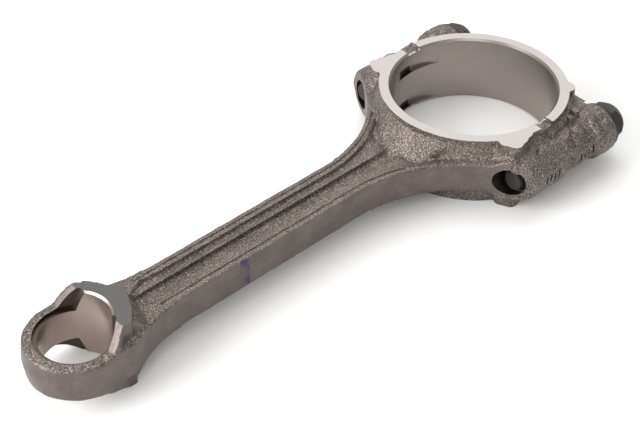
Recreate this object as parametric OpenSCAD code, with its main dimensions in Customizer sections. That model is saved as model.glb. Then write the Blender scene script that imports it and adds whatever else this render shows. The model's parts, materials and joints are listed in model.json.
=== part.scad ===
// Connecting rod with a bolted, fracture-split big-end cap and a bushed, stepped small end.
// Origin: big-end bore axis at mid thickness. +Z along the bores, +X from the small end to the cap.

/* [Overall] */
// Distance between the big-end and small-end bore axes
centre_distance = 169.1; // [140:0.1:220]
// Thickness of both ends between their machined faces
end_thickness = 24.6; // [21:0.1:32]

/* [Big end] */
// Diameter of the big-end housing bore
housing_d = 56.88; // [46:0.01:72]
// Width of the bright thrust ring around the bore, on each face
ring_width = 3.96; // [3:0.01:5]
// Chamfer at each end of the housing bore
housing_chamfer = 0.7; // [0.3:0.1:1]
// How far the forged strap stands out past the thrust ring
strap_proud = 1.6; // [0.8:0.1:2.5]
// Depth of the strap's shoulder below the thrust ring
shoulder_drop = 3.3; // [1.5:0.1:5]
// Length of the rough channel across the ring at the split, on each side of the split
channel_half = 2.9; // [1.5:0.1:4]
// Depth of that channel
channel_depth = 1.1; // [0.4:0.1:2]

// Direction of each ear on the thrust ring, from the split towards the shank
ear_angle = 27.4; // [22:0.1:32]
// Radius of the ear's corner
ear_r = 3.2; // [2:0.1:4]
// How far the ear stands out past the thrust ring
ear_proud = 4.5; // [2.5:0.1:6]

/* [Bearing tang slots] */
// Width of each slot along the bore
tang_width = 3.6; // [2.5:0.1:5]
// Depth of each slot into the bore wall
tang_depth = 1.5; // [0.8:0.1:1.8]
// Radius of the cutter that leaves the slots
tang_cutter_r = 16; // [12:0.5:20]
// Height of the upper slot's middle above mid thickness
tang_upper_z = 5.4; // [4:0.1:7]
// Height of the lower slot's middle below mid thickness
tang_lower_z = 9.1; // [7:0.1:9.5]

/* [Cap bolts] */
// Thread diameter of the bolts
bolt_d = 9; // [7:0.5:11]
// Metal left between the housing bore and the bolt
bolt_wall = 1.46; // [1:0.01:4]
// Length under the head
bolt_length = 43.5; // [40:0.5:54]
// Height of the cap's bolt seat over the split
seat_height = 25.5; // [22:0.1:32]
// Hex size across flats
hex_af = 13; // [11:0.5:16]
// Height of the head with its flange
head_height = 7.4; // [5:0.1:10]
// Thickness of the flange
flange_thickness = 2.4; // [1:0.1:3]
// How far the flange stands out past the bolt
flange_proud = 3.8; // [3:0.1:5]
// Length of the bolt's bare tip
bolt_tip = 2.2; // [1:0.1:3]
// Radial gap between each bolt and its holes
bolt_clearance = 0.05; // [0.02:0.01:0.1]
// Metal around the bolt hole in the rod
rod_boss_wall = 3.4; // [2.4:0.1:5]
// Metal around the bolt hole at the cap's waist
cap_waist_wall = 2.6; // [2:0.1:4]
// Metal around the bolt hole under the head
cap_boss_wall = 4.5; // [4:0.1:6]
// Length of that thicker part of the cap's boss
cap_boss_length = 8.5; // [5:0.1:11]

/* [Shank] */
// Width of the shank
shank_width = 17.3; // [14:0.1:22]
// Thickness of the shank over its flanges
shank_thickness = 11; // [9:0.1:14]
// Width of each flange's flat land
land_width = 3.85; // [3:0.05:5]
// Depth of the ledge below the land
ledge_depth = 1.4; // [0.8:0.1:2]
// Width of the ledge
ledge_width = 2.1; // [1.2:0.1:3]
// Thickness of the web between the two pockets
web_thickness = 4.4; // [3:0.1:6]
// Radius of the curve that spreads the shank into the big end
fork_r = 51; // [42:1:62]
// Radius of the curve that spreads the shank into the small end
neck_r = 60; // [50:1:75]
// Distance from the small-end bore axis to where that curve ends and the shank is straight
neck_length = 37.6; // [30:0.1:50]
// Width of the rising cone between the pocket and the thrust ring
cone_width = 5.5; // [4:0.1:8]

/* [Small end] */
// Bore of the bush
pin_d = 22; // [18:0.1:26]
// Wall of the bush
bush_wall = 1.4; // [1:0.1:2]
// Metal around the bush at mid thickness
eye_wall = 3.6; // [2.5:0.1:5]
// How much the forging draft takes off the eye's radius at its faces
eye_draft = 1.2; // [0.6:0.1:1.8]
// Thickness of the thin tip
tip_thickness = 11.4; // [9:0.1:16]
// Distance from the pin axis to where the full thickness ends
step_x = 8.1; // [5:0.1:10]
// How far the slope between full thickness and tip runs along the rod
step_run = 5.6; // [3:0.1:8]
// How far the flat face reaches past the eye towards the shank
nose_length = 2.8; // [1:0.1:6]
// Chamfer at each end of the bush bore
bush_chamfer = 0.6; // [0.2:0.1:0.8]
// How far the bush stays below the tip's faces
bush_setback = 1; // [0.3:0.1:2]
// How far the slanted cut on the bush runs along the rod
bush_slant = 2.4; // [1:0.1:4]
// How much further towards the shank the bush is cut than the small end
bush_step = 1; // [0.2:0.1:1.5]

/* [Hidden] */
$fn = 96;
over = 1;                          // how far a cutter runs past what it cuts
facet = 8;                         // points on each curve of the rod's outline
half_t = end_thickness / 2;
housing_r = housing_d / 2;
ring_r = housing_r + ring_width;
strap_r = ring_r + strap_proud;
strap_half = half_t - shoulder_drop;
bolt_r = bolt_d / 2;
bolt_y = housing_r + bolt_wall + bolt_r;
hole_r = bolt_r + bolt_clearance;
rod_boss_r = hole_r + rod_boss_wall;
cap_waist_r = hole_r + cap_waist_wall;
cap_boss_r = hole_r + cap_boss_wall;
flange_r = bolt_r + flange_proud;
pin_x = -centre_distance;
pin_r = pin_d / 2;
bush_r = pin_r + bush_wall;
eye_r = bush_r + eye_wall;
half_w = shank_width / 2;
half_s = shank_thickness / 2;
half_web = web_thickness / 2;
tip_half = tip_thickness / 2;
step_at = pin_x + step_x;
mouth_in = 2;                      // how far inside the bolt's axis the flank meets its hole
mouth_share = 0.6;                 // how far back that is, as a share of the bolt's offset
boss_share = 0.36;                 // how far back the boss has its full height, likewise
mouth_y = bolt_y - mouth_in;
mouth_x = -mouth_share * bolt_y;
boss_back = -boss_share * bolt_y;
fork_angle = acos(1 - (mouth_y - half_w) / fork_r);
fork_x = mouth_x - fork_r * sin(fork_angle);
plate_y = bolt_y + sqrt(rod_boss_r * rod_boss_r - half_s * half_s);
shoulder_in = 1;                   // how far the neck's shoulder stays inside the eye's width
eye_join = 75;                     // where the shoulder leaves the eye, from the shank's direction
neck_angle = acos(1 - (eye_r - shoulder_in - half_w) / neck_r);
neck_x = pin_x + neck_length;
nose_x = pin_x + eye_r + nose_length;
face_r = eye_r - eye_draft;
tip_point = 0.1;                   // half width of a plan's pointed end
pocket_x = neck_x - 8;             // where the pocket starts to close towards the small end
ring_step = 0.5;                   // height of the ring's own edge over the rising cone
strap_y = housing_r * 0.8;         // where the cap's shoulders start, inside the strap
tip_taper = 1;                     // how much the bolt's bare tip is inside its thread
// Corners of the small end's flat face towards the shank, as shares of the eye's face radius
nose_wide = 0.85;
nose_mid = [0.73, 0.84];
nose_narrow = 0.31;

// One side of the shank with the curves at both its ends, moved in from the flank by inset
function neck_curve(inset) = [
    for (i = [0 : facet])
        let (a = neck_angle * (1 - i / facet))
        [neck_x - (neck_r + inset) * sin(a), half_w + neck_r - (neck_r + inset) * cos(a)]
];
function fork_curve(inset) = [
    for (i = [0 : facet])
        let (a = fork_angle * i / facet)
        [fork_x + (fork_r + inset) * sin(a), half_w + fork_r - (fork_r + inset) * cos(a)]
];
function flip(points) = [for (i = [len(points) - 1 : -1 : 0]) [points[i][0], -points[i][1]]];
function both(points) = concat(points, flip(points));

// Seen from above: shank, fork and bolt shoulders of the rod, back to the split
module plan(shoulder_y) {
    polygon(both(concat(
        [[pin_x + eye_r * cos(eye_join), eye_r * sin(eye_join)]],
        neck_curve(0), fork_curve(0), [[boss_back, shoulder_y], [0, shoulder_y]])));
}

// Seen from above: the pocket between the flanges, its wall this far in from the flank
module pocket(inset) {
    difference() {
        polygon(both(concat(
            [[nose_x - inset / 2, tip_point], [pocket_x, half_w - inset]],
            fork_curve(inset))));
        circle(ring_r + cone_width);
    }
}

// A flat shape made solid, this far to each side of mid thickness
module slab(half) {
    linear_extrude(2 * half, center = true) children();
}

// Both faces of the rod: the children stand on mid thickness and are repeated below it
module both_faces() {
    children();
    mirror([0, 0, 1]) children();
}

// Both sides of the rod: the children stand on +Y and are repeated on -Y
module both_sides() {
    children();
    mirror([0, 1, 0]) children();
}

// Round bar along the bolt on the +Y side, from x0 to x1
module bolt_bar(r, x0, x1) {
    translate([x0, bolt_y, 0]) rotate([0, 90, 0]) cylinder(r = r, h = x1 - x0);
}

// The machined rings on both faces
module thrust_rings() {
    slab(half_t) circle(ring_r);
}

// Flat ears that stand beside the rod's bolts, level with the rings
module ears() {
    web = ring_width - housing_chamfer;
    slab(half_t) both_sides() {
        rotate(ear_angle) translate([0, ring_r + ear_proud - ear_r]) circle(ear_r);
        for (turn = [ear_angle, ear_angle / 2])
            rotate(turn) translate([-ear_r, ring_r - web]) square([2 * ear_r, web]);
    }
}

// Everything that is cut from rod and cap together: bore, slots and the channel at the split
module big_end_cuts() {
    cylinder(r = housing_r, h = end_thickness + 2 * over, center = true);
    both_faces() translate([0, 0, half_t - housing_chamfer])
        cylinder(r1 = housing_r, r2 = housing_r + housing_chamfer + over, h = housing_chamfer + over);
    both_faces() both_sides()
        translate([-channel_half, housing_r - over, half_t - channel_depth])
            cube([2 * channel_half, ring_width + strap_proud + over, channel_depth + over]);
    for (z = [tang_upper_z, -tang_lower_z])
        translate([over, housing_r + tang_depth - tang_cutter_r, z])
            cylinder(r = tang_cutter_r, h = tang_width, center = true);
}

// Everything on one side of the split: side is -1 for the rod and 1 for the cap
module half_space(side) {
    reach = 3 * bolt_y;
    translate([side > 0 ? 0 : -reach, -reach / 2, -reach / 2]) cube(reach);
}

// Small end seen from the side: thin tip, slope, and full thickness towards the shank
module small_end_profile() {
    reach = 2 * eye_r;
    rotate([90, 0, 0]) slab(reach)
        polygon([
            [pin_x - reach, -tip_half], [step_at - step_run, -tip_half], [step_at, -half_t],
            [pin_x + reach, -half_t], [pin_x + reach, half_t], [step_at, half_t],
            [step_at - step_run, tip_half], [pin_x - reach, tip_half]]);
}

// Drafted eye and flat nose, cut to the stepped profile
module small_end() {
    intersection() {
        small_end_profile();
        union() {
            both_faces() translate([pin_x, 0, 0]) cylinder(r1 = eye_r, r2 = face_r, h = half_t);
            slab(half_t) polygon(both([
                [step_at, face_r * nose_wide], [pin_x + face_r * nose_mid[0], face_r * nose_mid[1]],
                [nose_x - nose_length, face_r * nose_narrow], [nose_x, tip_point]]));
        }
    }
}

module rod_body() {
    color("#7d736c") difference() {
        union() {
            slab(half_s) plan(plate_y);
            small_end();
            intersection() {
                union() {
                    thrust_rings();
                    ears();
                    slab(strap_half) circle(strap_r);
                    both_faces()
                        translate([0, 0, half_web]) cylinder(
                            r1 = ring_r + cone_width, r2 = ring_r, h = half_t - half_web - ring_step);
                    both_sides() intersection() {
                        bolt_bar(rod_boss_r, mouth_x - rod_boss_r, 0);
                        slab(rod_boss_r) plan(bolt_y + rod_boss_r);
                    }
                    both_sides() translate([boss_back, housing_r, -strap_half])
                        cube([-boss_back, bolt_wall + bolt_r, 2 * strap_half]);
                }
                half_space(-1);
            }
        }
        both_faces() translate([0, 0, half_s - ledge_depth])
            linear_extrude(ledge_depth + over) pocket(land_width);
        both_faces() translate([0, 0, half_web])
            linear_extrude(half_s) pocket(land_width + ledge_width);
        big_end_cuts();
        both_sides() bolt_bar(hole_r, mouth_x - rod_boss_r, over);
        translate([pin_x, 0, 0]) cylinder(r = bush_r, h = end_thickness + 2 * over, center = true);
    }
}

module bearing_cap() {
    color("#776d67") difference() {
        intersection() {
            union() {
                thrust_rings();
                slab(strap_half) circle(strap_r);
                both_sides() {
                    bolt_bar(cap_waist_r, 0, seat_height - over);
                    bolt_bar(cap_boss_r, seat_height - cap_boss_length, seat_height);
                    translate([0, strap_y, -cap_waist_r])
                        cube([seat_height, bolt_y - strap_y, 2 * cap_waist_r]);
                }
            }
            half_space(1);
        }
        big_end_cuts();
        both_sides() bolt_bar(hole_r, -over, seat_height + over);
    }
}

// The bush follows the small end: full width towards the shank, cut slantwise down to the tip
module small_end_bush() {
    cut_z = tip_half - bush_setback;
    cut_x = step_x + bush_step;
    color("#a59b93") translate([pin_x, 0, 0]) difference() {
        cylinder(r = bush_r, h = end_thickness, center = true);
        cylinder(r = pin_r, h = end_thickness + 2 * over, center = true);
        both_faces() {
            translate([0, 0, half_t - bush_chamfer])
                cylinder(r1 = pin_r, r2 = pin_r + bush_chamfer + over, h = bush_chamfer + over);
            rotate([90, 0, 0]) slab(bush_r + over) polygon([
                [-2 * bush_r, cut_z], [cut_x - bush_slant, cut_z],
                [cut_x, half_t], [cut_x, half_t + over], [-2 * bush_r, half_t + over]]);
        }
    }
}

// Bolt on the +Y side: bare tip, thread at its major diameter, flange and hex
module cap_bolt() {
    thread_end = seat_height - bolt_length;
    hex_r = hex_af / 2 / cos(30);
    color("#34312f") {
        bolt_bar(bolt_r - tip_taper, thread_end, thread_end + bolt_tip);
        bolt_bar(bolt_r, thread_end + bolt_tip, seat_height);
        bolt_bar(flange_r, seat_height, seat_height + flange_thickness);
        translate([seat_height, bolt_y, 0]) rotate([0, 90, 0]) rotate(30)
            cylinder(r = hex_r, h = head_height, $fn = 6);
    }
}

module cap_bolt_near() {
    mirror([0, 1, 0]) cap_bolt();
}

module cap_bolt_far() {
    cap_bolt();
}

rod_body();
bearing_cap();
small_end_bush();
cap_bolt_near();
cap_bolt_far();
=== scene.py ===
import json
import math

import bpy
from mathutils import Matrix, Vector


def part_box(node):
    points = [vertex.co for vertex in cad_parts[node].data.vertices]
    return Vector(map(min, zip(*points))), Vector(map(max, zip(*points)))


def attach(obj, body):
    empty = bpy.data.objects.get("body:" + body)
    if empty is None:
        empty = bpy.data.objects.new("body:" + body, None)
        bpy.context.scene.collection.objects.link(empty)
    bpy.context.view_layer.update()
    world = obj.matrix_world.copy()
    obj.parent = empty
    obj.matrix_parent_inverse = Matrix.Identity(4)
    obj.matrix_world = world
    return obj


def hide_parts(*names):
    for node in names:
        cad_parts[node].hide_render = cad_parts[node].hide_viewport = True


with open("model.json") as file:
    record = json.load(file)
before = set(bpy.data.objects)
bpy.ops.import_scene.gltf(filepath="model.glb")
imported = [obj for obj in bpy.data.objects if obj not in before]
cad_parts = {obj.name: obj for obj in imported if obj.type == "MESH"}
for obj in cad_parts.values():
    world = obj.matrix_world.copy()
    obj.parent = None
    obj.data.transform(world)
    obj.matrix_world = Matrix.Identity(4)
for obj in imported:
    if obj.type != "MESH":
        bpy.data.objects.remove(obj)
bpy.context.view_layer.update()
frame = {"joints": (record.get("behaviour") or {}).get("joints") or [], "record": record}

bl_info = {
    "name": "Connecting rod",
    "version": (1, 0, 0),
    "blender": (4, 5, 0),
    "location": "3D View > Sidebar > Connecting rod",
    "description": "Builds a forged connecting rod with its split cap, bush and two flanged bolts",
    "category": "Object",
}

MM = 0.001
FAR = 0.2  # longer than anything in the rod, for cutters that pass right through
SIDES = (-1, 1)  # the -Y side and the +Y side, or the lower and the upper face

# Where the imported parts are, in metres. The big-end bore axis is the origin.
rod_low, rod_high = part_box("rod_body")
bush_low, bush_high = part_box("small_end_bush")
bolt_low, bolt_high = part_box("cap_bolt_far")
HALF_T = rod_high.z
PIN_X = (bush_low.x + bush_high.x) / 2
BUSH_R = (bush_high.x - bush_low.x) / 2
EYE_R = PIN_X - rod_low.x
BOLT_Y = (bolt_low.y + bolt_high.y) / 2
HEAD_X = bolt_high.x
TIP_X = bolt_low.x


def mount(name):
    return next(m for m in frame["record"]["mounts"] if m["name"] == name)


HOUSING_R = mount("big_end_bore")["dims"]["r_mm"] * MM
PIN_R = mount("small_end_bore")["dims"]["r_mm"] * MM
SEAT_X = next(j for j in frame["joints"] if j["name"] == "far_bolt_turn")["pos_m"][0]

# Small sizes that more than one step shares
BORE_CHAMFER = 0.7 * MM
HOLE_R = 4.55 * MM  # bolt holes
DRILL_R = 4.95 * MM  # the wider drilling behind them
SLOT_CUTTER_R = 16 * MM
SLOT_DEPTH = 1.5 * MM
ON_FACE = 0.02 * MM  # how near a point is to a machined face that it lies on
DYE_X, DYE_HALF_WIDTH = -112 * MM, 1.7 * MM  # where the band of dye crosses the shank
DYE_Y = -8.3 * MM  # the dye is only on the flank beyond this


def linear(hex_colour):
    """One sRGB hex colour as the linear numbers that shaders take."""
    channels = [int(hex_colour[i : i + 2], 16) / 255 for i in (1, 3, 5)]
    return tuple(c / 12.92 if c <= 0.04045 else ((c + 0.055) / 1.055) ** 2.4 for c in channels)


def length(name, description, millimetres):
    return bpy.props.FloatProperty(
        name=name, description=description, default=millimetres * MM, min=0.0, unit="LENGTH", precision=4
    )


def colour(name, description, hex_colour):
    return bpy.props.FloatVectorProperty(
        name=name, description=description, default=linear(hex_colour), subtype="COLOR", min=0.0, max=1.0
    )


class RodSizes(bpy.types.PropertyGroup):
    grain: length("Forging grid", "Size of the grid that the forged skins are rebuilt on", 0.5)
    half_width: length("Half shank width", "Half the width of the shank over its flanks", 8.65)
    half_shank: length("Half shank thickness", "Half the thickness of the shank over its lands", 5.5)
    half_web: length("Half web thickness", "Half the thickness of the web between the two pockets", 2.1)
    land: length("Land width", "Width of the flat land along each flank", 3.75)
    ledge_depth: length("Ledge depth", "Drop from the land to the ledge in the pocket", 1.5)
    ledge: length("Ledge width", "Width of the ledge between the two steps of the pocket", 2.2)
    groove: length("Groove radius", "Radius of the fine groove that runs along each land", 0.42)
    fork_r: length("Fork radius", "Radius of the flank where the shank spreads into the big end", 51)
    neck_r: length("Neck radius", "Radius of the flank where the shank spreads into the small end", 60)
    neck_run: length("Neck length", "From the small-end bore axis to the straight shank", 37.6)
    boss_r: length("Boss radius", "Radius of the forged boss round each bolt in the rod", 7.9)
    ring: length("Ring width", "Width of the ground thrust ring round the big bore", 3.96)
    strap: length("Strap width", "How far the forged strap stands out past the ring", 1.6)
    tip_half: length("Half tip thickness", "Half the thickness of the small end's thin tip", 5.7)


class CapSizes(bpy.types.PropertyGroup):
    grain: length("Forging grid", "Size of the grid that the forged skin is rebuilt on", 0.45)
    waist_r: length("Waist radius", "Radius of the bolt boss next to the split", 7.2)
    boss_r: length("Boss radius", "Radius of the bolt boss under the bolt's head", 8.75)
    boss_run: length("Boss length", "Length of the thicker part of the bolt boss", 8.5)


class BoltSizes(bpy.types.PropertyGroup):
    radius: length("Thread radius", "Radius over the thread's crests", 4.5)
    pitch: length("Pitch", "Distance between two turns of the thread", 1.0)
    thread_depth: length("Thread depth", "Depth of the thread below its crests", 0.58)
    thread_run: length("Thread length", "Length of thread from the tip", 24)
    flange_r: length("Flange radius", "Radius of the flange under the hex", 8.3)
    flange: length("Flange thickness", "Thickness of the flange at its rim", 1.5)
    across_flats: length("Across flats", "Size of the hex across its flats", 13)


class Finishes(bpy.types.PropertyGroup):
    forging: colour("Blasted forging", "Body colour of the shot-blasted forging", "#766c66")
    pits: colour("Forging pits", "Colour in the small pits of the forging", "#463f3a")
    specks: colour("Forging specks", "Colour of the bright crests left by the shot", "#b4ada6")
    flank: colour("Trimmed flank", "Colour of the smooth trimmed flanks", "#6d6460")
    dye: colour("Marking dye", "Colour of the worn inspection dye across one flank", "#3d3a63")
    ground: colour("Ground face", "Colour of the ground thrust rings", "#b0aaa7")
    flat: colour("Milled face", "Colour of the milled small-end faces", "#605e5c")
    bore: colour("Honed bore", "Colour of the honed housing bore", "#a69d98")
    # This colour is dark as painted shade: it stands for the shadow in the bolt holes, the bush's seat, the
    # tang slots and the bush's slanted faces.
    drilled_and_shaded: colour("Drilled hole", "Colour of the bolt holes and the bush's seat", "#574f48")
    lining: colour("Bush lining", "Colour of the bush's running surface", "#b3a59d")
    oxide: colour("Black oxide", "Colour of the blackened bolts", "#2e2c2b")


# ---------------------------------------------------------------- modelling


def alone(piece):
    """Makes this the one selected object, because operators act on all that is selected."""
    bpy.ops.object.select_all(action="DESELECT")
    piece.select_set(True)
    bpy.context.view_layer.objects.active = piece
    return piece


def settle():
    """Gives the new primitive's size and place to its mesh."""
    bpy.ops.object.transform_apply(location=True, rotation=True, scale=True)
    return bpy.context.object


def block(low, high):
    """A box between two corners."""
    bpy.ops.object.select_all(action="DESELECT")
    low, high = Vector(low), Vector(high)
    bpy.ops.mesh.primitive_cube_add(size=1, location=(low + high) / 2, scale=high - low)
    return settle()


def bar(radius, start, end, end_radius=None, sides=128):
    """A round bar or cone from one point to another."""
    bpy.ops.object.select_all(action="DESELECT")
    start, end = Vector(start), Vector(end)
    turn = (end - start).to_track_quat("Z", "Y").to_euler()
    bpy.ops.mesh.primitive_cone_add(
        vertices=sides, radius1=radius, radius2=radius if end_radius is None else end_radius,
        depth=(end - start).length, location=(start + end) / 2, rotation=turn,
    )
    return settle()


def pillar(radius, x, y, sides):
    """A round cutter straight up through everything."""
    return bar(radius, (x, y, -FAR), (x, y, FAR), sides=sides)


def bolt_bar(radius, start_x, end_x, side, sides=96):
    """A round bar on one bolt's axis."""
    return bar(radius, (start_x, side * BOLT_Y, 0), (end_x, side * BOLT_Y, 0), sides=sides)


def slice_off(piece, point, outward):
    """Cuts away what lies beyond a plane and closes the cut."""
    alone(piece)
    bpy.ops.object.mode_set(mode="EDIT")
    bpy.ops.mesh.select_all(action="SELECT")
    outward = Vector(outward).normalized()
    bpy.ops.mesh.bisect(plane_co=point, plane_no=outward, use_fill=True, clear_outer=True)
    bpy.ops.object.mode_set(mode="OBJECT")
    return piece


def apply(piece, kind, **settings):
    """Adds a modifier with its settings and applies it."""
    alone(piece)
    modifier = piece.modifiers.new(kind.title(), kind)
    for name, value in settings.items():
        setattr(modifier, name, value)
    bpy.ops.object.modifier_apply(modifier=modifier.name)
    return piece


def combine(piece, operation, tools):
    for tool in tools:
        apply(piece, "BOOLEAN", operation=operation, solver="MANIFOLD", object=tool)
        if not piece.data.polygons:
            raise RuntimeError(f"{operation} left nothing of {piece.name}")
        bpy.data.objects.remove(tool)
    return piece


def merge(first, *others):
    return combine(first, "UNION", others)


def carve(piece, *tools):
    return combine(piece, "DIFFERENCE", tools)


def keep_within(piece, *tools):
    return combine(piece, "INTERSECT", tools)


def smoothstep(low, high, value):
    t = min(max((value - low) / (high - low), 0.0), 1.0)
    return t * t * (3 - 2 * t)


def soften(piece, passes, weight, steps=6):
    """Blends the forging where weight(point) is above 0, over as many passes as it asks for."""
    group = piece.vertex_groups.new(name="soft")
    levels = {}
    for vertex in piece.data.vertices:
        level = round(weight(vertex.co) * steps)
        if level:
            levels.setdefault(level, []).append(vertex.index)
    for level, indices in levels.items():
        group.add(indices, level / steps, "REPLACE")
    apply(piece, "SMOOTH", factor=0.5, iterations=passes, vertex_group=group.name)
    piece.vertex_groups.remove(piece.vertex_groups["soft"])
    return piece


def lumps(piece, size, height, weight):
    """Lets the skin rise and fall a little, as a blasted forging does."""
    group = piece.vertex_groups.new(name="lumps")
    for vertex in piece.data.vertices:
        amount = weight(vertex.co)
        if amount > 0:
            group.add([vertex.index], amount, "REPLACE")
    texture = bpy.data.textures.new("forging lumps", "CLOUDS")
    texture.noise_scale = size
    texture.noise_depth = 1
    apply(
        piece, "DISPLACE", texture=texture, texture_coords="LOCAL", strength=height, mid_level=0.5,
        vertex_group=group.name,
    )
    piece.vertex_groups.remove(piece.vertex_groups["lumps"])
    bpy.data.textures.remove(texture)
    return piece


def finish(piece, name, body, nodes, angle=35):
    """Names the piece, smooths its shading and ties it to the frame."""
    alone(piece)
    piece.name = piece.data.name = name
    bpy.ops.object.shade_smooth_by_angle(angle=math.radians(angle))
    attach(piece, body)
    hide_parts(*nodes)
    return piece


def dress(piece, finishes, choose):
    """Gives each face the finish that choose(middle, normal) names by its place in the list."""
    piece.data.materials.clear()
    for finish_material in finishes:
        piece.data.materials.append(finish_material)
    for face in piece.data.polygons:
        face.material_index = choose(face.center, face.normal)
    return piece


def mark_flanks(piece, test):
    """Stores how far each point lies on a trimmed flank, for the forging's finish to read."""
    layer = piece.data.attributes.new("flank", "FLOAT", "POINT")
    for vertex in piece.data.vertices:
        layer.data[vertex.index].value = test(vertex.co, vertex.normal)
    return piece


def fork_start(sizes):
    """Where the straight shank ends and the flank starts to curve out to the bolt's hole."""
    fork_reach = BOLT_Y - 2 * MM - sizes.half_width
    return -0.6 * BOLT_Y - math.sqrt(sizes.fork_r**2 - (sizes.fork_r - fork_reach) ** 2)


def shank_sides(sizes, inset):
    """Cutters that leave the shank, its fork and its neck, moved in from the flank by inset."""
    fork_x = fork_start(sizes)
    neck_rise = sizes.half_width + sizes.neck_r
    neck_x = PIN_X + sizes.neck_run
    for side in SIDES:
        yield pillar(sizes.fork_r + inset, fork_x, side * (sizes.half_width + sizes.fork_r), 360)
        yield pillar(sizes.neck_r + inset, neck_x, side * neck_rise, 360)
        near, away = sorted((side * (sizes.half_width - inset), side * FAR))
        yield block((neck_x, near, -FAR), (fork_x, away, FAR))


def ledge_pocket(sizes, face):
    """The wide shallow hollow between the lands on one face, right up to the big end."""
    floor, top = sorted((face * (sizes.half_shank - sizes.ledge_depth), face * FAR))
    hollow = block((-150 * MM, -30 * MM, floor), (-18 * MM, 30 * MM, top))
    carve(hollow, *shank_sides(sizes, sizes.land))
    for side in SIDES:
        slice_off(hollow, (-150 * MM, side * 1.6 * MM, 0), (-0.45, side, 0))
    return hollow


def channel(sizes, face):
    """The deep channel down the middle of one face, which parts round the foot of the big end."""
    floor, top = sorted((face * sizes.half_web, face * FAR))
    foot_r = HOUSING_R + sizes.ring + 4 * MM
    around = block((-45 * MM, -28 * MM, floor), (-14 * MM, 28 * MM, top))
    keep_within(around, pillar(foot_r + 3.2 * MM, 0, 0, 256))
    carve(around, *shank_sides(sizes, sizes.land + MM))
    half = sizes.half_width - sizes.land - sizes.ledge - 0.3 * MM
    straight = block((-151 * MM, -half, floor), (-34 * MM, half, top))
    return around, straight


def land_groove(sizes, face, side):
    """The fine groove along one land, and on round the fork."""
    inset = 1.95 * MM
    fork_x = fork_start(sizes)
    height = face * sizes.half_shank
    bend_y = side * (sizes.half_width + sizes.fork_r)
    alongside = side * (sizes.half_width - inset)
    start, end = (-143 * MM, alongside, height), (fork_x + 0.1 * MM, alongside, height)
    straight = bar(sizes.groove, start, end, sides=12)
    bpy.ops.object.select_all(action="DESELECT")
    bpy.ops.mesh.primitive_torus_add(
        location=(fork_x, bend_y, height), major_radius=sizes.fork_r + inset, minor_radius=sizes.groove,
        major_segments=360, minor_segments=12,
    )
    arc = settle()
    fork_end = math.radians(40)
    slice_off(arc, (fork_x, bend_y, height), (-1, 0, 0))
    slice_off(arc, (fork_x, bend_y, height), (math.cos(fork_end), side * math.sin(fork_end), 0))
    return straight, arc


def hub(sizes):
    """The solid disc that the rings and the big bore are cut from."""
    return bar(HOUSING_R + sizes.ring, (0, 0, -1.4 * HALF_T), (0, 0, 1.4 * HALF_T), sides=256)


def crumbled(tool, seed):
    """Breaks up a cutter's flat sides, so that what it leaves looks torn and not milled."""
    apply(tool, "REMESH", mode="VOXEL", voxel_size=0.4 * MM)
    texture = bpy.data.textures.new("torn", "CLOUDS")
    texture.noise_scale = 1.3 * MM
    shift = Matrix.Translation((seed * 7 * MM, 0, 0))
    tool.data.transform(shift)
    apply(tool, "DISPLACE", texture=texture, texture_coords="LOCAL", strength=1.1 * MM, mid_level=0.5)
    tool.data.transform(shift.inverted())
    bpy.data.textures.remove(texture)
    return tool


def trim_faces(piece, low_x, high_x):
    """Cuts what lies between two X values down to the finished thickness."""
    above = block((low_x, -FAR, HALF_T), (high_x, FAR, FAR))
    below = block((low_x, -FAR, -FAR), (high_x, FAR, -HALF_T))
    return carve(piece, above, below)


def machine_big_end(piece):
    """Cuts made through rod and cap together: faces, bore, chamfers and bearing tang slots."""
    trim_faces(piece, -60 * MM, FAR)
    carve(piece, pillar(HOUSING_R, 0, 0, 256))
    for face in SIDES:
        inner = (0, 0, face * (HALF_T - BORE_CHAMFER))
        outer = (0, 0, face * (HALF_T + BORE_CHAMFER))
        carve(piece, bar(HOUSING_R, inner, outer, end_radius=HOUSING_R + 2 * BORE_CHAMFER, sides=256))
    for height in (5.4 * MM, -9.1 * MM):
        middle_y = HOUSING_R + SLOT_DEPTH - SLOT_CUTTER_R
        slot_low, slot_high = (MM, middle_y, height - 1.8 * MM), (MM, middle_y, height + 1.8 * MM)
        carve(piece, bar(SLOT_CUTTER_R, slot_low, slot_high, sides=128))
    return piece


def bolt_holes(piece, start, end):
    """Drills both bolt holes from one X to another."""
    for side in SIDES:
        carve(piece, bolt_bar(HOLE_R, start, end, side, 64))
    return piece


def rough_channel(sizes):
    """The shallow channel across both rings at the split."""
    for face in SIDES:
        for side in SIDES:
            near, away = sorted((side * (HOUSING_R - MM), side * (HOUSING_R + sizes.ring + 2.6 * MM)))
            floor, top = sorted((face * (HALF_T - 1.1 * MM), face * (HALF_T + 3 * MM)))
            yield crumbled(block((-2.6 * MM, near, floor), (3.4 * MM, away, top)), 2 * face + side)


# Each flat ear beside a bolt, as drafted pegs from its corner back to the split: X, Y and radius in mm
EAR = (
    (-14.9, 31.6, 2.8), (-16.4, 29.2, 2.4), (-12.0, 30.9, 2.9),
    (-8.8, 29.7, 3.1), (-5.4, 28.5, 3.2), (-2.2, 27.6, 3.2),
)
# The slope from full thickness to the thin tip on the lower and the upper face: X and height, in mm
RAMPS = {
    -1: ((-161.0, 12.3), (-165.0, 9.2), (-170.2, 7.0), (-174.0, 6.3)),
    1: ((-161.0, 12.3), (-166.6, 5.7)),
}


def ramp_cutter(face):
    """What is cut away over the thin tip and its slope on one face."""
    points = RAMPS[face]
    low, high = sorted((face * points[-1][1] * MM, face * FAR))
    above = block((-FAR, -FAR, low), (-140 * MM, FAR, high))
    for (x, z), (next_x, next_z) in zip(points, points[1:]):
        slice_off(above, (x * MM, 0, face * z * MM), (z - next_z, 0, face * (next_x - x)))
    return above


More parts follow.
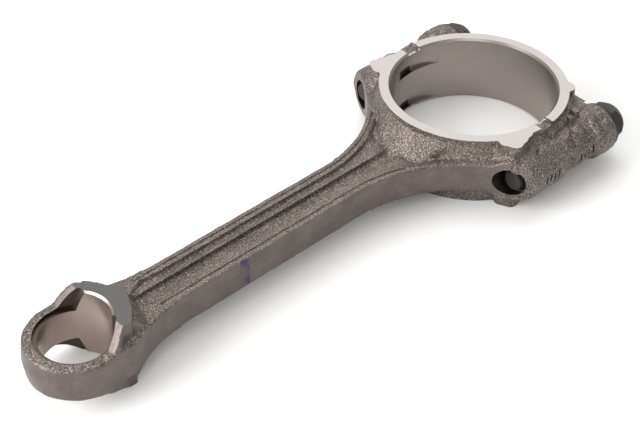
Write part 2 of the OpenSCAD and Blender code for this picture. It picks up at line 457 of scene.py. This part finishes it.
def forged_rod_blank(sizes):
    """The rod as it leaves the dies, before its edges are softened."""
    rise_r = HOUSING_R + sizes.ring
    split = 2 * MM
    broad = BOLT_Y + 6.2 * MM
    blank = block((PIN_X + 3 * MM, -broad, -sizes.half_shank), (split, broad, sizes.half_shank))
    carve(blank, *shank_sides(sizes, 0))
    for side in SIDES:
        near, away = sorted((side * (EYE_R - 0.9 * MM), side * FAR))
        carve(blank, block((-FAR, near, -FAR), (PIN_X + 20 * MM, away, FAR)))
    for face in SIDES:
        carve(blank, ledge_pocket(sizes, face), *channel(sizes, face))
    for side in SIDES:
        boss = bolt_bar(sizes.boss_r, -30 * MM, split, side)
        merge(blank, carve(boss, *shank_sides(sizes, 0)))
        for face in SIDES:
            high = face * 1.4 * HALF_T
            for x, y, radius in EAR:
                low, up = (x * MM, side * (y - 1) * MM, 0), (x * MM, side * (y + 0.4) * MM, high)
                merge(blank, bar((radius + 2.2) * MM, low, up, (radius - 0.9) * MM, 64))
    for face in SIDES:
        foot = bar(rise_r + 8.6 * MM, (0, 0, face * MM), (0, 0, face * 9.4 * MM), rise_r + 0.8 * MM, 256)
        keep_within(foot, block((-FAR, -33 * MM, -FAR), (-10 * MM, 33 * MM, FAR)))
        merge(blank, carve(foot, *shank_sides(sizes, sizes.land + 1.4 * MM)))
        merge(blank, bar(rise_r + 3.5 * MM, (0, 0, 0), (0, 0, face * 9 * MM), rise_r + 0.6 * MM, 256))
    merge(blank, hub(sizes))
    eye = bar(EYE_R, (PIN_X, 0, -0.1 * MM), (PIN_X, 0, 0.1 * MM), sides=128)
    for face in SIDES:
        merge(eye, bar(EYE_R, (PIN_X, 0, 0), (PIN_X, 0, face * 1.5 * HALF_T), EYE_R - 1.8 * MM, 128))
    tall = 1.5 * HALF_T
    nose = block((PIN_X + 4 * MM, -12.7 * MM, -tall), (PIN_X + 19.2 * MM, 11.7 * MM, tall))
    slice_off(nose, (-157.8 * MM, -12.6 * MM, 0), (4.4, -3.3, 0))
    slice_off(nose, (-154.5 * MM, -8.2 * MM, 0), (8.2, -4.3, 0))
    slice_off(nose, (-159.5 * MM, 11.5 * MM, 0), (11.5, 9.3, 0))
    merge(eye, nose)
    for face in SIDES:
        rise = bar(24.5 * MM, (PIN_X, 0, 0), (PIN_X, 0, face * 11.6 * MM), 16.6 * MM, 128)
        keep_within(rise, block((PIN_X + 11 * MM, -11.6 * MM, -FAR), (FAR, 11.6 * MM, FAR)))
        merge(eye, carve(rise, *shank_sides(sizes, 0)))
    for face in SIDES:
        carve(eye, ramp_cutter(face))
    merge(blank, eye)
    return blank


# Raised forging pips on the cap's near boss and flange, as X, Y, top height and radius in mm
CAP_PIPS = (
    (20.9, -40.2, 7.6, 1.3), (17.2, -30.7, 9.2, 1.7), (13.4, -31.6, 9.0, 1.5),
    (8.8, -37.4, 8.6, 1.4), (4.4, 33.3, 11.2, 1.2),
)
# The same on the rod: a button beside the near ear and two small ones further back
ROD_PIPS = ((-7.4, -36.6, 9.4, 1.5), (-17.7, -35.0, 8.9, 1.3), (-10.5, 34.1, 11.2, 1.2))


def pips(places):
    """Small raised forging pips, each a flat-topped button with drafted sides."""
    for x, y, z, radius in places:
        foot, top = (x * MM, y * MM, (z - 5) * MM), (x * MM, y * MM, z * MM)
        yield bar((radius + 1) * MM, foot, top, 0.7 * radius * MM, 24)


def matching_strokes(start_x, deep):
    """Four plain strokes struck into the side of each boss, so that rod and cap stay a pair."""
    for side in SIDES:
        near, away = sorted((side * deep, side * FAR))
        for step in range(4):
            x = start_x + 2 * step * MM
            yield block((x, near, -1.7 * MM), (x + 0.8 * MM, away, (1.1 + 0.6 * (step % 2)) * MM))


class OBJECT_OT_forged_rod(bpy.types.Operator):
    """Forge the rod with its shank, fork and small end, then machine its faces and holes"""

    bl_idname = "object.forged_rod"
    bl_label = "Forged rod"

    def execute(self, context):
        sizes = context.scene.rod_sizes
        rod = forged_rod_blank(sizes)
        apply(rod, "REMESH", mode="VOXEL", voxel_size=sizes.grain)
        apply(rod, "SMOOTH", factor=0.5, iterations=3)

        def foot_blend(point):
            from_bore = math.hypot(point.x, point.y)
            at_foot = smoothstep(50 * MM, 40 * MM, from_bore) if point.x < -6 * MM else 0.0
            height = abs(point.z)
            return at_foot * (1 - smoothstep(8 * MM, 11.6 * MM, height)) * smoothstep(1 * MM, 2 * MM, height)

        def slope_blend(point):
            from_corner = math.hypot(point.x + 167 * MM, abs(point.z) - sizes.tip_half)
            return 1 - smoothstep(1.5 * MM, 3.5 * MM, from_corner)

        def rim_blend(point):
            past_rim = math.hypot(point.x - PIN_X, point.y) - EYE_R
            from_edge = math.hypot(past_rim, abs(point.z) - sizes.tip_half)
            before_slope = smoothstep(-167.5 * MM, -170.5 * MM, point.x)
            return (1 - smoothstep(1.2 * MM, 3 * MM, from_edge)) * before_slope

        def neck_blend(point):
            from_foot = math.hypot(point.x - (PIN_X + 21.5 * MM), 0.7 * (abs(point.z) - 6.5 * MM))
            return 1 - smoothstep(2.5 * MM, 7 * MM, from_foot)

        soften(rod, 34, foot_blend)
        soften(rod, 6, slope_blend)
        soften(rod, 14, rim_blend)
        soften(rod, 22, neck_blend)
        merge(rod, *pips(ROD_PIPS))
        lumps(rod, 5 * MM, 0.3 * MM, lambda point: 1.0 if abs(point.z) < HALF_T else 0.0)
        for face in SIDES:
            for side in SIDES:
                carve(rod, *land_groove(sizes, face, side))
        trim_faces(rod, -FAR, -100 * MM)
        machine_big_end(rod)
        carve(rod, *rough_channel(sizes))
        carve(rod, block((0, -FAR, -FAR), (FAR, FAR, FAR)))
        bolt_holes(rod, -30 * MM, MM)
        for side in SIDES:
            carve(rod, bolt_bar(DRILL_R, -30 * MM, -15.5 * MM, side, 64))
        carve(rod, *matching_strokes(-10 * MM, BOLT_Y + sizes.boss_r - 0.6 * MM))
        carve(rod, pillar(BUSH_R, PIN_X, 0, 192))

        def flank(point, normal):
            on_slope = -167.2 * MM < point.x < -160.8 * MM and abs(point.z) > sizes.tip_half + 0.5 * MM
            if on_slope and normal.x < -0.3:
                return 0.8
            side_on = 1 - smoothstep(0.3, 0.55, abs(normal.z))
            outward = normal.y * (1 if point.y > 0 else -1)
            if point.x < -155 * MM:
                outward = (Vector((point.x - PIN_X, point.y, 0)).normalized()).dot(normal)
            on_rim = 1 - smoothstep(5.2 * MM, 6.6 * MM, abs(point.z)) if point.x > -150 * MM else 1.0
            before_boss = 1 - smoothstep(-21.5 * MM, -19.5 * MM, point.x)
            return side_on * smoothstep(0.25, 0.5, outward) * on_rim * before_boss

        mark_flanks(rod, flank)

        def choose(point, normal):
            from_pin = Vector((point.x - PIN_X, point.y, 0)).length
            from_bore = Vector((point.x, point.y, 0)).length
            from_bolt = math.hypot(abs(point.y) - BOLT_Y, point.z)
            level = abs(normal.z) > 0.999 and abs(abs(point.z) - HALF_T) < ON_FACE
            if level:
                return 2 if point.x < -100 * MM else 1
            # The bush's seat takes the drilled finish, whose dark colour is painted shade.
            if from_pin < BUSH_R + ON_FACE:
                return 4
            # The tang slots take the drilled finish all over; its dark colour is painted shade in the slots.
            slot_zone = point.x > -40 * MM and abs(point.z) < HALF_T - 1.3 * MM
            if slot_zone and from_bore < HOUSING_R + 1.7 * MM:
                in_slot = from_bore > HOUSING_R + 0.03 * MM
                return 4 if in_slot else 3
            if from_bore < HOUSING_R + 0.8 * MM and point.x > -40 * MM:
                return 3
            # The bolt holes take the drilled finish, whose dark colour is painted shade.
            if from_bolt < 5.0 * MM and abs(normal.x) < 0.3:
                return 4
            if abs(point.x) < 0.01 * MM:
                return 5
            return 0

        finishes = ("forging", "ground", "milled", "bore", "drilled_and_shaded", "fracture")
        dress(rod, [material(n) for n in finishes], choose)
        finish(rod, "forged_rod", "rod", ["rod_body"])
        return {"FINISHED"}


class OBJECT_OT_forged_cap(bpy.types.Operator):
    """Forge the cap with its two bolt bosses, then machine its faces, seats and holes"""

    bl_idname = "object.forged_cap"
    bl_label = "Forged cap"

    def execute(self, context):
        rod_sizes, sizes = context.scene.rod_sizes, context.scene.cap_sizes
        cap = hub(rod_sizes)
        strap_r, strap_half = HOUSING_R + rod_sizes.ring + rod_sizes.strap, HALF_T - 3.3 * MM
        merge(cap, bar(strap_r, (0, 0, -strap_half), (0, 0, strap_half), sides=256))
        for face in SIDES:
            peg_top = (22.6 * MM, -22.8 * MM, face * 1.4 * HALF_T)
            merge(cap, bar(4.6 * MM, (21.5 * MM, -21.5 * MM, 0), peg_top, 2.2 * MM, 48))
        for side in SIDES:
            end = SEAT_X + 2 * MM
            merge(cap, bolt_bar(sizes.waist_r, -2 * MM, SEAT_X, side))
            merge(cap, bolt_bar(sizes.boss_r, SEAT_X - sizes.boss_run, end, side))
            near, away = sorted((side * 22 * MM, side * BOLT_Y))
            merge(cap, block((-2 * MM, near, -6.9 * MM), (end, away, 6.9 * MM)))
        apply(cap, "REMESH", mode="VOXEL", voxel_size=sizes.grain)
        apply(cap, "SMOOTH", factor=0.5, iterations=3)

        def boss_blend(point):
            below_ring = 1 - smoothstep(8.5 * MM, 11.5 * MM, abs(point.z))
            return below_ring * smoothstep(20 * MM, 26 * MM, abs(point.y))

        def rough_skin(point):
            return boss_blend(point) * (1 - smoothstep(22 * MM, 24.5 * MM, point.x))

        soften(cap, 24, boss_blend)
        merge(cap, *pips(CAP_PIPS))
        lumps(cap, 3.6 * MM, 1.3 * MM, rough_skin)
        machine_big_end(cap)
        carve(cap, *rough_channel(rod_sizes))
        carve(cap, block((-FAR, -FAR, -FAR), (0, FAR, FAR)))
        for side in SIDES:
            carve(cap, bolt_bar(9.6 * MM, SEAT_X, SEAT_X + 9 * MM, side))
        bolt_holes(cap, -MM, FAR)
        carve(cap, *matching_strokes(8.6 * MM, BOLT_Y + sizes.waist_r - 0.7 * MM))
        mark_flanks(cap, lambda point, normal: 0.0)

        def choose(point, normal):
            from_bore = Vector((point.x, point.y, 0)).length
            from_bolt = math.hypot(abs(point.y) - BOLT_Y, point.z)
            if abs(normal.z) > 0.999 and abs(abs(point.z) - HALF_T) < ON_FACE:
                return 1
            slot_zone = abs(point.z) < HALF_T - 1.3 * MM
            if from_bore < HOUSING_R + (1.7 if slot_zone else 0.8) * MM:
                return 2
            # The bolt holes take the drilled finish, whose dark colour is painted shade.
            if from_bolt < 4.7 * MM and abs(normal.x) < 0.3:
                return 3
            if abs(point.x) < 0.01 * MM:
                return 4
            # The bolt seats take the drilled finish, whose dark colour is painted shade.
            if abs(point.x - SEAT_X) < 0.01 * MM and normal.x > 0.9:
                return 3
            return 0

        dress(cap, [material(n) for n in ("forging", "ground", "bore", "drilled_and_shaded", "fracture")], choose)
        finish(cap, "forged_cap", "cap", ["bearing_cap"])
        return {"FINISHED"}


class OBJECT_OT_small_end_bush(bpy.types.Operator):
    """Turn the small-end bush, chamfer its bore and cut it slantwise to follow the small end"""

    bl_idname = "object.small_end_bush"
    bl_label = "Small-end bush"

    def execute(self, context):
        sizes = context.scene.rod_sizes
        bush = bar(BUSH_R, (PIN_X, 0, -HALF_T), (PIN_X, 0, HALF_T), sides=192)
        carve(bush, pillar(PIN_R, PIN_X, 0, 192))
        chamfer = 0.6 * MM
        for face in SIDES:
            inner = (PIN_X, 0, face * (HALF_T - chamfer))
            outer = (PIN_X, 0, face * (HALF_T + chamfer))
            carve(bush, bar(PIN_R, inner, outer, end_radius=PIN_R + 2 * chamfer, sides=192))
            cut_z = sizes.tip_half - 1.0 * MM if face > 0 else sizes.tip_half + 0.5 * MM
            low, high = sorted((face * cut_z, face * FAR))
            above = block((-FAR, -FAR, low), (-140 * MM, FAR, high))
            slice_off(above, (PIN_X + 6.7 * MM, 0, face * cut_z), (7.6, 0, -2.4 * face))
            carve(bush, above)

        def choose(point, normal):
            if abs(abs(point.z) - HALF_T) < ON_FACE:
                return 1
            if abs(point.z) > HALF_T - chamfer:
                return 2
            # The slanted cut faces take the drilled finish, whose dark colour is painted shade on them.
            return 3 if abs(normal.z) > 0.3 else 0

        dress(bush, [material(n) for n in ("lining", "milled", "ground", "drilled_and_shaded")], choose)
        finish(bush, "bush", "rod", ["small_end_bush"])
        return {"FINISHED"}


def bolt_thread(sizes, run):
    """One ridge with sloping sides, screwed along the bolt as a closed coil and cut to length."""
    foot_r = sizes.radius - sizes.thread_depth - 0.25 * MM
    bpy.ops.object.select_all(action="DESELECT")
    bpy.ops.mesh.primitive_plane_add(
        size=1, location=((foot_r + sizes.radius) / 2, 0, 0), rotation=(math.radians(90), 0, 0)
    )
    bpy.context.object.scale = (sizes.radius - foot_r, 0.94 * sizes.pitch, 1)
    thread = settle()
    bpy.ops.object.mode_set(mode="EDIT")
    bpy.ops.mesh.delete(type="ONLY_FACE")
    bpy.ops.mesh.select_all(action="DESELECT")
    bpy.ops.object.mode_set(mode="OBJECT")
    for vertex in thread.data.vertices:
        vertex.select = vertex.co.x > sizes.radius - 0.1 * MM
    bpy.ops.object.mode_set(mode="EDIT")
    bpy.ops.transform.resize(value=(1, 1, 0.13), center_override=(sizes.radius, 0, 0))
    bpy.ops.object.mode_set(mode="OBJECT")
    turns = math.ceil(run / sizes.pitch)
    apply(
        thread, "SCREW", axis="Z", angle=math.tau, screw_offset=sizes.pitch, iterations=turns, steps=32,
        render_steps=32, use_merge_vertices=False,
    )
    bpy.ops.object.mode_set(mode="EDIT")
    bpy.ops.mesh.select_all(action="SELECT")
    bpy.ops.mesh.fill_holes(sides=0)
    bpy.ops.mesh.select_all(action="SELECT")
    bpy.ops.mesh.normals_make_consistent(inside=False)
    bpy.ops.object.mode_set(mode="OBJECT")
    return keep_within(thread, block((-0.01, -0.01, 0), (0.01, 0.01, run)))


class OBJECT_OT_cap_bolts(bpy.types.Operator):
    """Make one flanged hex bolt with its rolled thread, and a copy for the other side"""

    bl_idname = "object.cap_bolts"
    bl_label = "Cap bolts"

    def execute(self, context):
        sizes = context.scene.bolt_sizes
        rise = Vector((1, 0, 0))
        middle = Vector((0, BOLT_Y, 0))

        def along(x):
            return middle + rise * x

        thread_end = TIP_X + sizes.thread_run
        bolt = bar(sizes.radius - 0.35 * MM, along(thread_end - MM), along(SEAT_X + MM), sides=64)
        tip = bar(3.3 * MM, along(TIP_X), along(TIP_X + 2.4 * MM), end_radius=3.75 * MM, sides=64)
        merge(bolt, tip)
        seat = SEAT_X + 0.02 * MM  # just clear of the cap, so that the two faces never cross while it turns
        flange_top = SEAT_X + sizes.flange
        merge(bolt, bar(sizes.flange_r, along(seat), along(flange_top), sides=96))
        cone_low, cone_high = along(flange_top - 0.2 * MM), along(flange_top + 1.3 * MM)
        merge(bolt, bar(sizes.flange_r - 0.1 * MM, cone_low, cone_high, 6.2 * MM, 96))
        bpy.ops.object.select_all(action="DESELECT")
        hex_r = sizes.across_flats / 2 / math.cos(math.radians(30))
        hex_low = SEAT_X + MM
        bpy.ops.mesh.primitive_cylinder_add(
            vertices=6, radius=hex_r, depth=HEAD_X - hex_low, location=along((hex_low + HEAD_X) / 2),
            rotation=(0, math.radians(90), 0),
        )
        head = settle()
        sharp = math.radians(40)
        apply(head, "BEVEL", width=0.25 * MM, segments=2, limit_method="ANGLE", angle_limit=sharp)
        end_cone = bar(hex_r + 3.2 * MM, along(hex_low - 2 * MM), along(HEAD_X + 0.01 * MM), 5.9 * MM, 96)
        keep_within(head, end_cone)
        carve(head, bar(3.6 * MM, along(HEAD_X - 0.5 * MM), along(HEAD_X + MM), 4.6 * MM, 64))
        merge(bolt, head)
        thread_x = TIP_X + 2.2 * MM
        merge(bolt, bar(sizes.radius - sizes.thread_depth, along(thread_x), along(thread_end), sides=64))
        thread = bolt_thread(sizes, sizes.thread_run - 2.2 * MM)
        alone(thread)
        lying = Matrix.Rotation(math.radians(90), 4, "Y")
        thread.matrix_world = Matrix.Translation(along(thread_x)) @ lying
        settle()
        merge(bolt, thread)
        dress(bolt, [material("oxide")], lambda point, normal: 0)
        alone(bolt)
        bpy.ops.object.duplicate(linked=False)
        near = bpy.context.object
        near.matrix_world = Matrix.Translation((0, -2 * BOLT_Y, 0))
        settle()
        finish(bolt, "far_flange_bolt", "far_bolt", ["cap_bolt_far"], angle=28)
        finish(near, "near_flange_bolt", "near_bolt", ["cap_bolt_near"], angle=28)
        return {"FINISHED"}


# ---------------------------------------------------------------- finishes


def add(tree, kind, inputs=None, **settings):
    """Adds one shader node, sets its settings, and fills or links its inputs."""
    node = tree.nodes.new("ShaderNode" + kind)
    for name, value in settings.items():
        setattr(node, name, value)
    for socket, value in (inputs or {}).items():
        if isinstance(value, bpy.types.NodeSocket):
            tree.links.new(value, node.inputs[socket])
        else:
            node.inputs[socket].default_value = value
    return node


def paint(rgb):
    return (*rgb, 1.0)


def start(name):
    """A new material with its output and a metal shader, and the object's own coordinates."""
    made = bpy.data.materials.new(name)
    made.use_nodes = True
    tree = made.node_tree
    tree.nodes.clear()
    shader = add(tree, "BsdfPrincipled", {"Metallic": 1.0})
    add(tree, "OutputMaterial", {"Surface": shader.outputs["BSDF"]})
    place = add(tree, "TexCoord").outputs["Object"]
    return tree, shader, place


def blend(tree, factor, first, second, **settings):
    """Mixes two colours by a factor."""
    mixed = add(tree, "Mix", {"Factor": factor, "A": first, "B": second}, data_type="RGBA", **settings)
    return mixed.outputs[2]


def ramp(tree, value, low, high, to_low=0.0, to_high=1.0):
    """Maps a value's range from low to high onto another range."""
    inputs = {"Value": value, "From Min": low, "From Max": high, "To Min": to_low, "To Max": to_high}
    return add(tree, "MapRange", inputs).outputs["Result"]


def noise(tree, place, scale, detail, stretch=(1.0, 1.0, 1.0), turn=0.0):
    """Fine noise, drawn out along an axis where stretch is below 1."""
    where = add(tree, "Mapping", {"Vector": place, "Scale": stretch, "Rotation": (0.0, 0.0, turn)})
    inputs = {"Vector": where.outputs[0], "Scale": scale, "Detail": detail}
    return add(tree, "TexNoise", inputs).outputs["Fac"]


def set_surface(tree, shader, tone, roughness):
    """Gives the shader its colour and how rough it is, each as a link or as a number."""
    tree.links.new(tone, shader.inputs["Base Color"])
    if isinstance(roughness, bpy.types.NodeSocket):
        tree.links.new(roughness, shader.inputs["Roughness"])
    else:
        shader.inputs["Roughness"].default_value = roughness


def roughen(tree, shader, height, strength, distance):
    bump = add(tree, "Bump", {"Strength": strength, "Distance": distance, "Height": height})
    tree.links.new(bump.outputs["Normal"], shader.inputs["Normal"])


def scaled(rgb, share):
    return paint([share * c for c in rgb])


FINISH_NAMES = {
    "forging": "shot-blasted forged steel",
    "ground": "ground steel face",
    "milled": "milled steel face",
    "bore": "honed steel bore",
    "drilled_and_shaded": "drilled steel",
    "fracture": "fracture-split steel",
    "lining": "bush running surface",
    "oxide": "black oxide steel",
}


def material(name):
    return bpy.data.materials[FINISH_NAMES[name]]


class MATERIAL_OT_rod_finishes(bpy.types.Operator):
    """Make the forged, machined and blackened steel finishes"""

    bl_idname = "material.rod_finishes"
    bl_label = "Finishes"

    def execute(self, context):
        finishes = context.scene.rod_finishes
        self.forging(finishes)
        self.ground(finishes)
        self.milled(finishes)
        self.bore(finishes)
        self.drilled_and_shaded(finishes)
        self.fracture(finishes)
        self.lining(finishes)
        self.oxide(finishes)
        return {"FINISHED"}

    def forging(self, finishes):
        """Hot-forged steel, blasted with steel shot: dull grey-brown skin with a tight grain of dark pits
        and bright crests about 0.5 mm apart. The trimmed flanks are smoother, with faint lengthwise
        lines, and a worn violet band of inspection dye crosses the near one."""
        tree, shader, place = start(FINISH_NAMES["forging"])
        flank = add(tree, "Attribute", attribute_name="flank").outputs["Fac"]
        grit_inputs = {"Vector": place, "Scale": 2000.0, "Detail": 2.0, "Roughness": 0.6}
        grit = add(tree, "TexNoise", grit_inputs).outputs["Fac"]
        patch = noise(tree, place, 160.0, 3.0)
        body = blend(tree, ramp(tree, grit, 0.34, 0.5), paint(finishes.pits), paint(finishes.forging))
        speckled = blend(tree, ramp(tree, grit, 0.56, 0.68), body, paint(finishes.specks))
        streaks = noise(tree, place, 900.0, 2.0, (0.05, 1.0, 1.0))
        lined = blend(tree, streaks, scaled(finishes.flank, 0.8), scaled(finishes.flank, 1.2))
        tone = blend(tree, flank, speckled, lined)

        spot = add(tree, "SeparateXYZ", {"Vector": place})
        band = add(tree, "Math", {0: spot.outputs["X"], 1: DYE_X, 2: DYE_HALF_WIDTH}, operation="COMPARE")
        outer = add(tree, "Math", {0: spot.outputs["Y"], 1: DYE_Y}, operation="LESS_THAN")
        worn = ramp(tree, patch, 0.38, 0.5, 0.0, 0.9)
        marked = add(tree, "Math", {0: band.outputs[0], 1: outer.outputs[0]}, operation="MULTIPLY")
        painted = add(tree, "Math", {0: marked.outputs[0], 1: worn}, operation="MULTIPLY")
        tone = blend(tree, painted.outputs[0], tone, paint(finishes.dye))

        shade = ramp(tree, patch, 0.3, 0.7, 0.82, 1.1)
        tone = blend(tree, 1.0, tone, shade, blend_type="MULTIPLY")
        set_surface(tree, shader, tone, ramp(tree, flank, 0.0, 1.0, 0.52, 0.42))
        roughen(tree, shader, grit, ramp(tree, flank, 0.0, 1.0, 1.0, 0.12), 0.22 * MM)
        shader.inputs["Metallic"].default_value = 0.85

    def ground(self, finishes):
        """Ground steel of the thrust rings: a wheel leaves fine straight lines, and the brightest face."""
        tree, shader, place = start(FINISH_NAMES["ground"])
        lines = noise(tree, place, 1600.0, 3.0, (1.0, 0.03, 1.0), math.radians(20))
        tone = blend(tree, lines, scaled(finishes.ground, 0.86), paint(finishes.ground))
        set_surface(tree, shader, tone, 0.34)
        roughen(tree, shader, lines, 0.25, 0.03 * MM)

    def milled(self, finishes):
        """Milled steel of the small end's faces: cutter marks blur it, so it is a duller, flatter grey."""
        tree, shader, place = start(FINISH_NAMES["milled"])
        marks = noise(tree, place, 420.0, 4.0)
        tone = blend(tree, marks, scaled(finishes.flat, 0.85), paint(finishes.flat))
        set_surface(tree, shader, tone, 0.42)

    def bore(self, finishes):
        """Honed steel of the big bore: stones leave very fine lines round it, a soft satin wall."""
        tree, shader, place = start(FINISH_NAMES["bore"])
        hone = noise(tree, place, 1500.0, 2.0, (0.12, 0.12, 1.0))
        tone = blend(tree, hone, scaled(finishes.bore, 0.88), paint(finishes.bore))
        set_surface(tree, shader, tone, 0.3)

    def drilled_and_shaded(self, finishes):
        """Drilled steel of holes, seats and slots: uneven as the tool left it, and coloured dark as painted
        shade for the shadow inside them.
        """
        tree, shader, place = start(FINISH_NAMES["drilled_and_shaded"])
        rings = noise(tree, place, 700.0, 3.0)
        tone = blend(tree, rings, scaled(finishes.drilled_and_shaded, 0.75), paint(finishes.drilled_and_shaded))
        set_surface(tree, shader, tone, 0.4)

    def fracture(self, finishes):
        """Steel broken apart between rod and cap: crystalline, with small facets that catch the light."""
        tree, shader, place = start(FINISH_NAMES["fracture"])
        facets = add(tree, "TexVoronoi", {"Vector": place, "Scale": 1500.0}).outputs["Distance"]
        tone = blend(tree, facets, paint(finishes.forging), paint(finishes.specks))
        set_surface(tree, shader, tone, 0.5)
        roughen(tree, shader, facets, 0.9, 0.3 * MM)

    def lining(self, finishes):
        """Fine-bored lining of the bush: turned smooth, satin, and warmer than the forging."""
        tree, shader, place = start(FINISH_NAMES["lining"])
        turning = noise(tree, place, 1400.0, 2.0, (0.15, 0.15, 1.0))
        tone = blend(tree, turning, scaled(finishes.lining, 0.9), paint(finishes.lining))
        set_surface(tree, shader, tone, 0.28)

    def oxide(self, finishes):
        """Heat-treated bolt steel, blackened and oiled: nearly black, softly shiny, with rubbed patches."""
        tree, shader, place = start(FINISH_NAMES["oxide"])
        rub = noise(tree, place, 350.0, 4.0)
        tone = blend(tree, rub, paint(finishes.oxide), scaled(finishes.oxide, 1.9))
        set_surface(tree, shader, tone, 0.45)
        shader.inputs["Metallic"].default_value = 0.6


# ---------------------------------------------------------------- stage


class StageSettings(bpy.types.PropertyGroup):
    azimuth: bpy.props.FloatProperty(
        name="Azimuth", description="Direction of the camera round the rod",
        default=math.radians(-43.833), subtype="ANGLE",
    )
    elevation: bpy.props.FloatProperty(
        name="Elevation", description="Height of the camera over the horizon",
        default=math.radians(39.231), subtype="ANGLE",
    )
    roll: bpy.props.FloatProperty(
        name="Roll", description="Turn of the camera about its own axis",
        default=math.radians(0.373), subtype="ANGLE",
    )
    distance: length("Distance", "From the camera to the point it looks at", 501.39)
    lens: bpy.props.FloatProperty(
        name="Lens", description="Focal length in millimetres", default=88.433, min=20
    )
    floor: colour("Floor", "Colour of the plain floor", "#f2f2f1")


def area_light(name, location, target, size, power, tint):
    light = bpy.data.lights.new(name, "AREA")
    light.shape = "DISK"
    light.size = size
    light.energy = power
    light.color = tint
    lamp = bpy.data.objects.new(name, light)
    bpy.context.collection.objects.link(lamp)
    lamp.location = location
    lamp.rotation_euler = (Vector(target) - Vector(location)).to_track_quat("-Z", "Y").to_euler()
    return lamp


class SCENE_OT_rod_stage(bpy.types.Operator):
    """Lay the floor, hang the soft lights and set up the camera"""

    bl_idname = "scene.rod_stage"
    bl_label = "Stage"

    def execute(self, context):
        stage = context.scene.rod_stage
        bpy.ops.object.select_all(action="DESELECT")
        bpy.ops.mesh.primitive_plane_add(size=8, location=(0, 0, -HALF_T))
        floor = settle()
        floor.name = "floor"
        made = bpy.data.materials.new("painted floor")
        made.use_nodes = True
        shader = made.node_tree.nodes["Principled BSDF"]
        shader.inputs["Base Color"].default_value = paint(stage.floor)
        shader.inputs["Roughness"].default_value = 0.8
        floor.data.materials.append(made)

        world = bpy.data.worlds.new("soft studio")
        context.scene.world = world
        world.use_nodes = True
        world.node_tree.nodes["Background"].inputs["Color"].default_value = (1, 1, 1, 1)
        world.node_tree.nodes["Background"].inputs["Strength"].default_value = 0.55
        middle = (-0.07, 0, 0)
        area_light("overhead softbox", (0.35, 0.45, 0.9), middle, 1.6, 9.0, (1, 0.99, 0.98))
        area_light("left softbox", (-0.95, 0.3, 0.45), middle, 0.8, 11.0, (1, 1, 1))
        area_light("front softbox", (-0.7, -0.7, 0.9), middle, 1.0, 4.5, (1, 1, 1))
        context.scene.view_settings.view_transform = "Standard"

        back = Vector((
            math.sin(stage.azimuth) * math.cos(stage.elevation),
            -math.cos(stage.azimuth) * math.cos(stage.elevation),
            math.sin(stage.elevation),
        ))
        right = Vector((math.cos(stage.azimuth), math.sin(stage.azimuth), 0))
        up = back.cross(right)
        level = Matrix((right, up, back)).transposed()
        turned = (level @ Matrix.Rotation(stage.roll, 3, "Z")).to_4x4()
        target = Vector((-75.435 * MM, -3.265 * MM, 0))
        lens = bpy.data.cameras.new("camera")
        lens.lens = stage.lens
        lens.sensor_width = 36
        lens.clip_start = 0.01
        camera = bpy.data.objects.new("camera", lens)
        context.collection.objects.link(camera)
        camera.matrix_world = Matrix.Translation(target + back * stage.distance) @ turned
        context.scene.camera = camera
        return {"FINISHED"}


class VIEW3D_PT_connecting_rod(bpy.types.Panel):
    bl_label = "Connecting rod"
    bl_space_type = "VIEW_3D"
    bl_region_type = "UI"
    bl_category = "Connecting rod"

    def draw(self, context):
        layout = self.layout
        for step in STEPS:
            layout.operator(step.bl_idname)
        for group in (name for name, _ in GROUPS):
            holder = getattr(context.scene, group)
            for field in holder.bl_rna.properties.keys():
                if field not in ("rna_type", "name"):
                    layout.prop(holder, field)


GROUPS = (
    ("rod_sizes", RodSizes),
    ("cap_sizes", CapSizes),
    ("bolt_sizes", BoltSizes),
    ("rod_finishes", Finishes),
    ("rod_stage", StageSettings),
)
STEPS = (
    MATERIAL_OT_rod_finishes,
    OBJECT_OT_forged_rod,
    OBJECT_OT_forged_cap,
    OBJECT_OT_small_end_bush,
    OBJECT_OT_cap_bolts,
    SCENE_OT_rod_stage,
)


def register():
    for name, group in GROUPS:
        bpy.utils.register_class(group)
        setattr(bpy.types.Scene, name, bpy.props.PointerProperty(type=group))
    for made in (*STEPS, VIEW3D_PT_connecting_rod):
        bpy.utils.register_class(made)


def unregister():
    for made in (VIEW3D_PT_connecting_rod, *reversed(STEPS)):
        bpy.utils.unregister_class(made)
    for name, group in reversed(GROUPS):
        delattr(bpy.types.Scene, name)
        bpy.utils.unregister_class(group)


def main():
    register()
    bpy.ops.material.rod_finishes()
    bpy.ops.object.forged_rod()
    bpy.ops.object.forged_cap()
    bpy.ops.object.small_end_bush()
    bpy.ops.object.cap_bolts()
    bpy.ops.scene.rod_stage()


if __name__ == "__main__":
    main()
